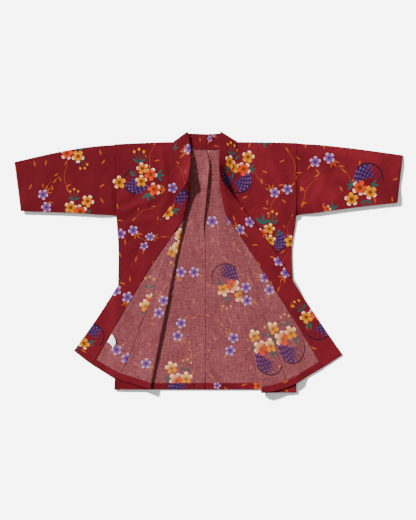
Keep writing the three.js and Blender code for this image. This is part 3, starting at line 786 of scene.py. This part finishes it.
def print_group(name, rows):
    group = bpy.data.node_groups.new(name, "ShaderNodeTree")
    group.interface.new_socket("Colour", in_out="OUTPUT", socket_type="NodeSocketColor")
    for amount in ("Cover", "Blossom", "Warm blossom"):
        group.interface.new_socket(amount, in_out="OUTPUT", socket_type="NodeSocketFloat")
    recipe = Recipe(group)
    cloth_place = recipe.vector("ADD", recipe.node("UVMap", {}, uv_map="Cut"), (0, 0, 0))
    vine_place, _ = nearest(recipe, cloth_place, rows, ["vine"])
    cover = recipe.math("MAXIMUM", draw_vines(recipe, vine_place), draw_loose_leaves(recipe, cloth_place))
    basket_place, _ = nearest(recipe, cloth_place, rows, ["basket"])
    basket_colour, basket_cover = draw_baskets(recipe, basket_place)
    colour = recipe.mix_colour(recipe.math("GREATER_THAN", basket_cover, SHOWS), GOLD, basket_colour)
    cover = recipe.math("MAXIMUM", cover, basket_cover)
    sprig_colour, sprig_cover = draw_sprigs(recipe, *nearest(recipe, cloth_place, rows, SPRIGS))
    colour = recipe.mix_colour(recipe.math("GREATER_THAN", sprig_cover, SHOWS), colour, sprig_colour)
    cover = recipe.math("MAXIMUM", cover, sprig_cover)
    petal_colour, petal_cover, warm = draw_blossoms(recipe, *nearest(recipe, cloth_place, rows, BLOSSOMS))
    colour = recipe.mix_colour(recipe.math("GREATER_THAN", petal_cover, SHOWS), colour, petal_colour)
    cover = recipe.math("MAXIMUM", cover, petal_cover)
    output = group.nodes.new("NodeGroupOutput")
    for socket, value in zip(output.inputs, (colour, cover, petal_cover, warm)):
        group.links.new(value, socket)
    return group


PANEL_AREAS = {  # a from and to, y from and to
    "body": (-200, 300, -30, 1560),
    "sleeve": (260, 640, 400, 1000),
    "overlap": (-200, 200, 1900, 2600),
}


def on_panel(rows, panel, mirror):
    low_a, high_a, low_y, high_y = PANEL_AREAS[panel]

    def touches(kind, x, y, radius, turn):
        return low_a - radius < mirror * x < high_a + radius and low_y - radius < y < high_y + radius

    return [motif for motif in rows if touches(*motif)]


PRINTS = {}
for side, half in HALVES.items():
    mirror = half["mirror"]
    cloth_motifs = motifs(LAID_OUT[side], mirror)
    for panel in PANEL_AREAS:
        PRINTS[side, panel] = print_group(f"{side} {panel} print", on_panel(cloth_motifs, panel, mirror))
    PRINTS[side, "band"] = print_group(f"{side} band print", motifs(BAND_LAID_OUT[side], mirror))
for name, group in PRINTS.items():
    print(*name, "print:", len(group.nodes), "nodes")

# %% [markdown]
# ## The cotton
# Plain-woven cotton has threads of uneven thickness. On the printed side the dye hides them, and on the wrong side
# the thinly dyed threads show as a rose heather of light and dark dashes, along and across the cloth. Two noises,
# each stretched one way, give those dashes, and the same noises raise the surface a little.

# %% Cotton, printed side and wrong side
HEATHER_DARK = (0.096, 0.0195, 0.0245)
HEATHER_LIGHT = (0.228, 0.066, 0.072)
SEAM_SHADE = (0.02, 0.004, 0.006)
WEAVE = 5200.0
WEAVE_DEPTH, PUCKER_DEPTH, CRUMPLE_DEPTH = 0.15, 9.0, 11.0


def threads(recipe, cloth_place, across, along):
    lengthways = recipe.noise(recipe.local(cloth_place, 0, 0, 0, 1 / across, 1 / along), 1.0)
    sideways = recipe.noise(recipe.local(cloth_place, 0, 0, 0, 1 / along, 1 / across), 1.0)
    return lengthways, sideways


def cotton(name, pattern, wrong_side):
    material = bpy.data.materials.new(name)
    material.use_nodes = True
    tree = material.node_tree
    shader = tree.nodes["Principled BSDF"]
    recipe = Recipe(tree)
    cloth_place = recipe.node("UVMap", {}, uv_map="Cut")
    cloth_u, cloth_v, _ = recipe.split(cloth_place)
    printed = tree.nodes.new("ShaderNodeGroup")
    printed.node_tree = pattern
    colour, cover, blossom, warm = printed.outputs
    tone_and_painted_shade = recipe.noise(cloth_place, 9.0, 3.0)
    lengthways, sideways = threads(recipe, cloth_place, 380, 26)
    dashes = recipe.math("MULTIPLY", recipe.math("ADD", lengthways, sideways), 0.5)
    if wrong_side:
        fine, finer = threads(recipe, cloth_place, 700, 90)
        fine = recipe.math("MULTIPLY", recipe.math("ADD", fine, finer), 0.5)
        light_threads = recipe.ramp(recipe.mix(0.5, dashes, fine), 0.40, 0.60)
        ground = recipe.mix_colour(light_threads, HEATHER_DARK, HEATHER_LIGHT)
        # Painted shade: besides its random tone, the wrong side is painted darker on the right half of the jacket,
        # from just right of the middle outward.
        tone_and_painted_shade = recipe.math("MAXIMUM", recipe.ramp(tone_and_painted_shade, 0.7, 0.35), recipe.ramp(cloth_u, 0.06, 0.2))
        tone_and_painted_shade = recipe.math("MULTIPLY", tone_and_painted_shade, 0.32)
        ground = recipe.mix_colour(tone_and_painted_shade, ground, HEATHER_DARK)
        bright = recipe.math("MULTIPLY", recipe.ramp(recipe.split(colour)[0], 0.1, 0.28), 0.05)
        colour = recipe.mix_colour(recipe.mix(blossom, bright, 0.0), colour, PALE)
        colour = recipe.mix_colour(recipe.math("MULTIPLY", warm, 0.45), colour, CREAM)
        showing = recipe.math("MULTIPLY_ADD", recipe.ramp(fine, 0.42, 0.58), 0.25, 0.65)
        amount = recipe.math("MULTIPLY", cover, recipe.mix(blossom, showing, 0.93))
    else:
        # Painted light and shade: the red ground is painted darker towards the left of the jacket and lighter towards
        # the right.
        ground = recipe.mix_colour(recipe.ramp(cloth_u, -0.55, 0.55), PAINTED_SHADE_RED, PAINTED_LIGHT_RED)
        ground = recipe.mix_colour(recipe.ramp(tone_and_painted_shade, 0.3, 0.75), ground, SHADED_RED)
        dark_threads = recipe.math("MULTIPLY", recipe.ramp(dashes, 0.5, 0.68), 0.35)
        ground = recipe.mix_colour(dark_threads, ground, SHADED_RED)
        amount = cover
    cloth_colour = recipe.mix_colour(amount, ground, colour)
    seam = recipe.node("Attribute", {}, 2, attribute_name="Seam")
    # Painted shadow: the cloth is darkened in short dashes along its seams, where shade would lie in the seam.
    seam_shadow = recipe.math("MULTIPLY", recipe.ramp(seam, 0.0026, 0.0006), recipe.ramp(sideways, 0.42, 0.54))
    cloth_colour = recipe.mix_colour(recipe.math("MULTIPLY", seam_shadow, 0.12), cloth_colour, SEAM_SHADE)
    tree.links.new(cloth_colour, shader.inputs["Base Color"])
    shader.inputs["Roughness"].default_value = 0.85
    shader.inputs["Specular IOR Level"].default_value = 0.05
    shader.inputs["Sheen Weight"].default_value = 0.05
    shader.inputs["Sheen Roughness"].default_value = 0.5
    shader.inputs["Sheen Tint"].default_value = (0.6, 0.08, 0.1, 1)

    weave = recipe.math(
        "MULTIPLY",
        recipe.math("SINE", recipe.math("MULTIPLY", cloth_u, WEAVE)),
        recipe.math("SINE", recipe.math("MULTIPLY", cloth_v, WEAVE)),
    )
    pucker = recipe.math("MULTIPLY", recipe.noise(cloth_place, 90.0), recipe.ramp(seam, 0.022, 0.0))
    crumple = recipe.noise(recipe.local(cloth_place, 0, 0, 38, 0.06, 0.03), 1.0, 3.0)
    height = recipe.math("MULTIPLY_ADD", weave, WEAVE_DEPTH, dashes)
    height = recipe.math("MULTIPLY_ADD", crumple, CRUMPLE_DEPTH, height)
    height = recipe.math("MULTIPLY_ADD", pucker, PUCKER_DEPTH, height)
    bump = recipe.node("Bump", {"Height": height, "Distance": 0.0004, "Strength": 0.6})
    tree.links.new(bump, shader.inputs["Normal"])
    return material


PRINTED = {key: cotton(" ".join(key) + ", printed side", group, False) for key, group in PRINTS.items()}
WRONG = {key: cotton(" ".join(key) + ", wrong side", PRINTS[key], True) for key in PRINTS if key[1] != "band"}

# %% Plain stuffs and ribbon
RIBS = 9000.0


def plain(name, colour, roughness=0.85):
    material = bpy.data.materials.new(name)
    material.use_nodes = True
    shader = material.node_tree.nodes["Principled BSDF"]
    shader.inputs["Base Color"].default_value = (*colour, 1)
    shader.inputs["Roughness"].default_value = roughness
    return material


def ribbon(name, colour, shade):
    material = plain(name, colour, 0.55)
    tree = material.node_tree
    shader = tree.nodes["Principled BSDF"]
    recipe = Recipe(tree)
    place = recipe.node("UVMap", {}, uv_map="Cut")
    along = recipe.split(place)[0]
    rib = recipe.math("SINE", recipe.math("MULTIPLY", along, RIBS))
    satin = recipe.noise(recipe.local(place, 0, 0, 0, 0.02, 0.0015), 1.0)
    shaded = recipe.mix_colour(recipe.ramp(satin, 0.35, 0.75), colour, shade)
    tree.links.new(shaded, shader.inputs["Base Color"])
    height = recipe.math("MULTIPLY_ADD", rib, 0.5, satin)
    bump = recipe.node("Bump", {"Height": height, "Distance": 0.0002, "Strength": 0.7})
    tree.links.new(bump, shader.inputs["Normal"])
    shader.inputs["Sheen Weight"].default_value = 0.1
    return material


WHITE = ribbon("label ribbon", (0.93, 0.93, 0.92), (0.80, 0.80, 0.79))

# %% [markdown]
# ## Body panels
# Each is one length of cloth from the front hem over the shoulder to the back hem. The front part follows the fold,
# with its points crowded together where the cloth rolls over.

# %% Rows and columns of the body
def spaced(start, end, gap):
    return steps(max(1, round(abs(end - start) / gap)), start, end)


ROWS = spaced(0, HEM_TURN, 5) + spaced(HEM_TURN, ARMPIT, 9)[1:] + spaced(ARMPIT, SHOULDER, 8)[1:]
FLAT_COLUMNS, ROLL_COLUMNS, TURNED_COLUMNS, NECK_COLUMNS = 24, 18, 14, 9


def front_edge(half, y):
    return curve(half.overlap_seam if y < OVERLAP_TIP else half.band_seam, y) + SEAM / 2


def front_columns(half, y):
    edge = front_edge(half, y)
    fold_a = (half.foot + half.way * (y / half.way.y)).x
    radius = curve(FOLD_RADIUS, y)
    roll_start = max(fold_a + 1, edge + 40)
    roll_end = max(fold_a - math.pi * radius - 1, edge + 13)
    return (
        steps(FLAT_COLUMNS, half.side_at(y), roll_start)
        + steps(ROLL_COLUMNS, roll_start, roll_end)[1:]
        + steps(TURNED_COLUMNS, roll_end, edge)[1:]
    )


def neck_curve(t):
    return smooth(t * 1.35)


def body_panel(half):
    sheet = Sheet()
    columns = FLAT_COLUMNS + ROLL_COLUMNS + TURNED_COLUMNS
    level = lambda a, y: y + (half.shoulder_at(a) - SHOULDER) * smooth((y - ARMPIT) / (SHOULDER - ARMPIT))
    places = [[(a, level(a, y)) for a in front_columns(half, y)] for y in ROWS]
    to_seam = lambda a, row: min(a - row[-1][0], row[0][0] - a)
    front = [[(half.lay_front(a, y), (a, y), to_seam(a, row)) for a, y in row] for row in places]
    behind = lambda a, y: (a, 2 * SHOULDER - y)
    back = []
    for y_row, row in zip(ROWS, places):
        cells = [(half.lay_back(a, y), behind(a, y)) for a, y in row]
        start_a, start_y = row[columns]
        fall = smooth((y_row - OVERLAP_TIP) / (SHOULDER - OVERLAP_TIP))
        middle_y = y_row * lerp(1, BACK_NECK / SHOULDER, fall)
        for t in steps(NECK_COLUMNS)[1:]:
            y = lerp(start_y, middle_y, neck_curve(t))
            a = lerp(start_a, half.back_seam_at(y), t)
            cells.append((half.lay_back(a, y), behind(a, y), a - half.back_seam_at(y)))
        back.append(cells)
    turn = [[] for _ in range(4)]
    for (low, low_place), (high, *_) in zip(back[-1][: columns + 1], front[-1]):
        radius = (high.z - low.z) / 2
        for k, t in enumerate((0, 0.33, 0.67, 1)):
            point = (low + high) / 2
            point.z = high.z - radius * (1 - math.cos(math.pi * t))
            point.y += radius * math.sin(math.pi * t)
            turn[k].append((point, low_place))
    turn[0] = front[-1]
    turn[-1] = back[-1][: columns + 1]
    sheet.add_rows(front)
    sheet.add_rows(turn)
    sheet.add_rows(back[::-1])
    cloth = (half.name, "body")
    return sheet.make(f"body_{half.name}_cloth", half, CLOTH_WALL, (0, True), PRINTED[cloth], WRONG[cloth])


halves = {name: Half(name) for name in HALVES}
pieces = {}
for name, half in halves.items():
    pieces[f"body_{name}"] = body_panel(half)

# %% [markdown]
# ## Overlap panels and hems
# The overlap is the long three-cornered panel that a kimono front wraps with. It was turned over with the front, so it
# shows its wrong side. The hems are narrow turned-up strips, and on the wrong side they show the red face.

# %% Overlap panels
OVERLAP_COLUMNS = 14


def overlap_columns(half, y):
    return steps(OVERLAP_COLUMNS, curve(half.overlap_seam, y) - SEAM / 2, curve(half.band_seam, y) + SEAM / 2)


def overlap_panel(half):
    rows = [y for y in ROWS if y < OVERLAP_TIP - 5]
    cells = []
    for y in rows:
        columns = overlap_columns(half, y)
        to_seam = [min(columns[0] - a, a - columns[-1]) for a in columns]
        place = [(a, y + OVERLAP_CUT) for a in columns]
        cells.append([(half.lay_front(a, y), at, away) for a, at, away in zip(columns, place, to_seam)])
    sheet = Sheet().add_rows(cells)
    cloth = (half.name, "overlap")
    return sheet.make(f"overlap_{half.name}_cloth", half, CLOTH_WALL, (0, False), PRINTED[cloth], WRONG[cloth])


# %% Hems
def back_hem(half):
    rows = []
    for y in spaced(0, HEM_TURN, 5):
        cells = spaced(half.side_at(y) - 4, half.back_seam_at(y), 12)
        rows.append([(half.lay_back(a, y, CLOTH + SEAM), (a, 2 * SHOULDER + y)) for a in cells])
    face = PRINTED[half.name, "body"]
    return Sheet().add_rows(rows).make(f"hem_back_{half.name}_cloth", half, CLOTH_WALL, (0, True), face, face)


def front_hem(half):
    first = FLAT_COLUMNS + ROLL_COLUMNS - 3

    def lifted(a, y):
        here = half.lay_front(a, y)
        along = half.lay_front(a - 0.5, y) - here
        up = half.lay_front(a, y + 0.5) - here
        return here + along.cross(up).normalized() * (CLOTH + 2 * SEAM)

    rows = []
    for y in [row for row in ROWS if row <= HEM_TURN]:
        columns = front_columns(half, y)[first:] + overlap_columns(half, y)
        columns[-1] += SEAM
        rows.append([(lifted(a, y), (a, -y)) for a in columns])
    face = PRINTED[half.name, "body"]
    upward = (len(rows[0]) - 2, True)
    return Sheet().add_rows(rows).make(f"hem_front_{half.name}_cloth", half, CLOTH_WALL, upward, face, face)


for name, half in halves.items():
    pieces[f"overlap_{name}"] = overlap_panel(half)
    pieces[f"hem_back_{name}"] = back_hem(half)
    pieces[f"hem_front_{name}"] = front_hem(half)

# %% [markdown]
# ## Collar band
# The band is cloth folded double, so both its faces are red. At the back neck it lies on its outer face, it turns over
# at the shoulders, and below the neck each half twists and lies with its inner face up, out to the hem.

# %% Collar band
BAND_COLUMNS = 12
BAND_TOP = 781
BAND_ROLL_SEAM, BAND_ROLL_EDGE = 1.7, 5.6
BAND_CUT, TURN_CUT, NECK_CUT = 60, 14, 105  # in the flat cut: its width, its turn at the shoulder, the back neck
TURN_ROWS, NECK_ROWS = 8, 14


def band_room(y):
    return 1.3 * math.exp(-(((y - 520) / 45) ** 2)) + 0.8 * smooth((y - 720) / 34)


def collar_band(half):
    across = steps(BAND_COLUMNS)
    roll_radius = lambda w: lerp(BAND_ROLL_SEAM, BAND_ROLL_EDGE, w)

    def base(y, w):
        flat = CLOTH + AIR + BAND / 2
        perch = BAND / 2 + 2 * roll_radius(w) - flat
        return flat + perch * smooth((y - lerp(690, 600, w)) / lerp(40, 110, w))

    def front_point(row, w):
        edge_y = row * BAND_TOP / SHOULDER
        seam_a = curve(half.band_seam, row) - SEAM / 2 - band_room(row)
        a, y = lerp(seam_a, curve(half.band_edge, edge_y), w), lerp(row, edge_y, w)
        standing = smooth((y - half.stand_up[0][0]) / 20) * smooth((half.stand_up[-1][0] - y) / 20) * w * w
        place = half.lay(a, y, BAND, base(y, w))
        place.x += standing * curve(half.stand_out, y)
        place.z += standing * curve(half.stand_up, y)
        return place

    rows = [[(front_point(row, w), (BAND_CUT * w, row)) for w in across] for row in ROWS]
    top = [cell[0] for cell in rows[-1]]
    way = (top[-1] - top[0]).normalized()
    outward = Vector((-way.y, way.x, 0)).normalized()
    if outward.y < 0:
        outward.negate()
    for t in steps(TURN_ROWS)[1:]:
        row = []
        for point, w in zip(top, across):
            radius = roll_radius(w)
            turned = point + outward * radius * math.sin(math.pi * t)
            turned.z = BAND / 2 + radius * (1 + math.cos(math.pi * t))
            row.append((turned, (BAND_CUT * w, SHOULDER + TURN_CUT * t)))
        rows.append(row)
    low = [cell[0] for cell in rows[-1]]
    for t in steps(NECK_ROWS)[1:]:
        row = []
        for point, w in zip(low, across):
            middle = Vector((SEAM / 2, lerp(BACK_NECK + 3 * SEAM, CREST, w), BAND / 2))
            place = point.lerp(middle, t)
            place.y = lerp(point.y, middle.y, lerp(neck_curve(t), t, w))
            row.append((place, (BAND_CUT * w, SHOULDER + TURN_CUT + NECK_CUT * t)))
        rows.append(row)
    face = PRINTED[half.name, "band"]
    upward = ((len(ROWS) - 1) * BAND_COLUMNS - 1, True)
    return Sheet().add_rows(rows).make(f"collar_{half.name}_cloth", half, BAND_WALL, upward, face, face)


for name, half in halves.items():
    pieces[f"collar_{name}"] = collar_band(half)

# %% [markdown]
# ## Sleeves
# A sleeve is a tube folded flat along its top edge. Rings run from the armhole to the cuff, each one the lower layer,
# the fold, and the upper layer with its creases. The cuff stays open.

# %% Sleeves
SLEEVE_RINGS, SLEEVE_COLUMNS = 34, 22
SLEEVE_LENGTH = 300
SAG, CURL, PUFF = 2.5, 4.5, 1.5


def sleeve(half):
    start_top = (half.side_at(SHOULDER_SEAM_Y) + SEAM, half.shoulder_at(half.side_at(SHOULDER_SEAM_Y)))
    start_foot = (half.side_at(ARMPIT) + SEAM, ARMPIT + 3)
    rings = []
    for s in steps(SLEEVE_RINGS):
        bow = half.sleeve_bow * math.sin(math.pi * s) * (1 - s * 0.4)
        top = (lerp(start_top[0], half.cuff_top[0], s), lerp(start_top[1], half.cuff_top[1], s) + bow)
        sag = SAG * math.sin(math.pi * s)
        foot = (lerp(start_foot[0], half.cuff_foot[0], s), lerp(start_foot[1], half.cuff_foot[1], s) + sag)

        def place(t):
            y = lerp(foot[1], top[1], t)
            straight = lerp(foot[0], top[0], t)
            armhole = half.side_at(min(SHOULDER_SEAM_Y, y)) + SEAM
            return lerp(armhole, straight, clamp01(s * 6)), y

        curl = lambda t: CURL * smooth((0.4 - t) / 0.4) * smooth(s * 5)
        to_seam = SLEEVE_LENGTH * s

        ring = []
        for t in steps(SLEEVE_COLUMNS):
            a, y = place(t)
            ring.append((Vector((a, y, CLOTH / 2 + curl(t))), (a, 2 * top[1] - y)))
        a, y = place(1)
        edge = (CLOTH + SEAM) / 2
        ring.append((Vector((a, y + edge, CLOTH / 2 + edge)), (a, y)))
        for t in steps(SLEEVE_COLUMNS)[::-1]:
            a, y = place(t)
            fade = smooth(min(t, 1 - t) * 7) * smooth(min(s, 0.1) * 20 + 0.2)
            puff = 0.6 + half.ripple(a, y) + half.crease(a, y) + PUFF * math.sin(math.pi * s)
            ring.append((Vector((a, y, CLOTH * 1.5 + SEAM + puff * fade + curl(t))), (a, y), to_seam))
        a, y = place(0)
        ring.append((Vector((a, y - edge, CLOTH / 2 + edge + curl(0))), (a, y)))
        ring.append(ring[0])
        rings.append(ring)
    cloth = (half.name, "sleeve")
    sheet = Sheet().add_rows(rings)
    return sheet.make(f"sleeve_{half.name}_cloth", half, CLOTH_WALL, (30, True), PRINTED[cloth], WRONG[cloth])


for name, half in halves.items():
    pieces[f"sleeve_{name}"] = sleeve(half)

# %% [markdown]
# ## Care label
# A short folded ribbon caught in the left band seam. It is left blank.

# %% Care label
LABEL_WIDTH, LABEL_LENGTH, LABEL_SEAM_AT, LABEL_INSET, LABEL_CLEAR, LABEL_CURL = 27, 24, 96, 3, 2, 5
LABEL_WALL = 0.5


def care_label(half):
    rows = []
    for t in steps(10):
        row = []
        for w in steps(8):
            y = LABEL_SEAM_AT + LABEL_WIDTH * (w - 0.5) * (1 - 0.35 * t)
            a = curve(half.band_seam, y) + LABEL_INSET + LABEL_LENGTH * t
            point = half.lay_front(a, y - 12 * t * t)
            point.z += CLOTH / 2 + LABEL_CLEAR + LABEL_CURL * math.sin(math.pi * t * 0.85) * (0.4 + 0.6 * w)
            row.append((point, (LABEL_LENGTH * t, LABEL_WIDTH * w)))
        rows.append(row)
    return Sheet().add_rows(rows).make("label_ribbon", half, LABEL_WALL, (0, True), WHITE, WHITE)


pieces["label"] = care_label(halves["left"])

# %% [markdown]
# ## What each piece is
# Every piece rides on the one body and takes the place of its solid, which is hidden.

# %% Ride and replace
for node, piece in pieces.items():
    side = "left" if node == "label" else node.rsplit("_", 1)[1]
    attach(piece, "root")
    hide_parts(node)

# %% [markdown]
# ## Floor, light and camera
# A sun from the upper left lights the jacket, a pale sky fills its shadows, and the camera looks straight down. The
# floor gets no light from that sun. It has a second, stronger sun of its own, which makes it paler than one light for
# both would, and which throws the jacket's short clean shadow on it.

# %% Floor
bpy.ops.object.select_all(action="DESELECT")
bpy.ops.mesh.primitive_plane_add(size=8, location=(0, 0, 0))
floor = bpy.context.object
floor.name = "floor"
floor.data.materials.append(plain("pale floor", (0.97, 0.97, 0.97)))

# %% Light
def add_sun(name, energy, side, floor_light):
    data = bpy.data.lights.new(name, "SUN")
    data.energy = energy
    data.angle = math.radians(4)
    light = bpy.data.objects.new(name, data)
    light.rotation_euler = Vector(side).to_track_quat("Z", "Y").to_euler()
    bpy.context.scene.collection.objects.link(light)
    receivers = bpy.data.collections.new(f"floor for the {name}")
    light.light_linking.receiver_collection = receivers
    receivers.objects.link(floor)
    receivers.collection_objects[0].light_linking.link_state = floor_light


add_sun("sun", 7.6, (-0.85, 0.72, 1.0), "EXCLUDE")
add_sun("backdrop light", 58.0, (-2.1, 1.75, 1.0), "INCLUDE")
sky = bpy.data.worlds.new("sky")
sky.use_nodes = True
sky.node_tree.nodes["Background"].inputs["Color"].default_value = (1, 1, 1, 1)
sky.node_tree.nodes["Background"].inputs["Strength"].default_value = 0.65
bpy.context.scene.world = sky

# %% Camera
LENS = 85
SENSOR = 36
VIEW_HEIGHT = 1.586
VIEW_MIDDLE = (-0.0017, 0.007)
camera_data = bpy.data.cameras.new("camera")
camera_data.lens = LENS
camera = bpy.data.objects.new("camera", camera_data)
camera.location = (*VIEW_MIDDLE, LENS / SENSOR * VIEW_HEIGHT)
bpy.context.scene.collection.objects.link(camera)
bpy.context.scene.camera = camera
